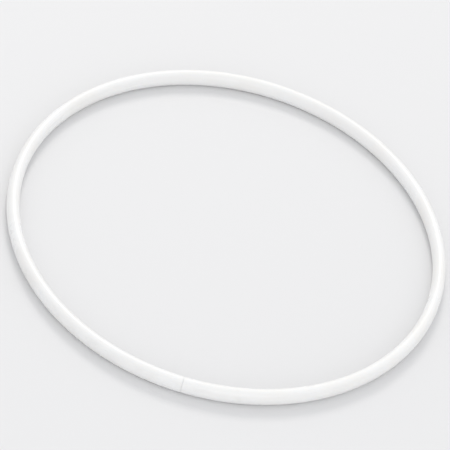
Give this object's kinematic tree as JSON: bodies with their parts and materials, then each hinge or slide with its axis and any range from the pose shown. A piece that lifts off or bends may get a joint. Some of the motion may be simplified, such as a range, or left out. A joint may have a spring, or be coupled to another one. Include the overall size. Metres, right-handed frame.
{
  "type": "gymnastics hoop",
  "caption": "Small white plastic gymnastics hoop: a thin oval tube bent into a ring and butted over an inner plug held by pins.",
  "frame": {"origin": "on the hoop's axis, at the level of the surface that it lies on", "axes": "+Z along the hoop's axis, upwards; the butt joint is at -Y; +X to the right as seen from -Y"},
  "size_m": [0.259, 0.259, 0.0106],
  "materials": {
    "hoop_plastic": "smooth extruded white plastic with a soft sheen",
    "plug_plastic": "moulded, matt",
    "pin_steel": "bright drawn steel"
  },
  "bodies": {
    "root": {"hoop_tube": "hoop_plastic", "joint_plug": "plug_plastic", "joint_pin_left": "pin_steel", "joint_pin_right": "pin_steel"}
  },
  "joints": []
}
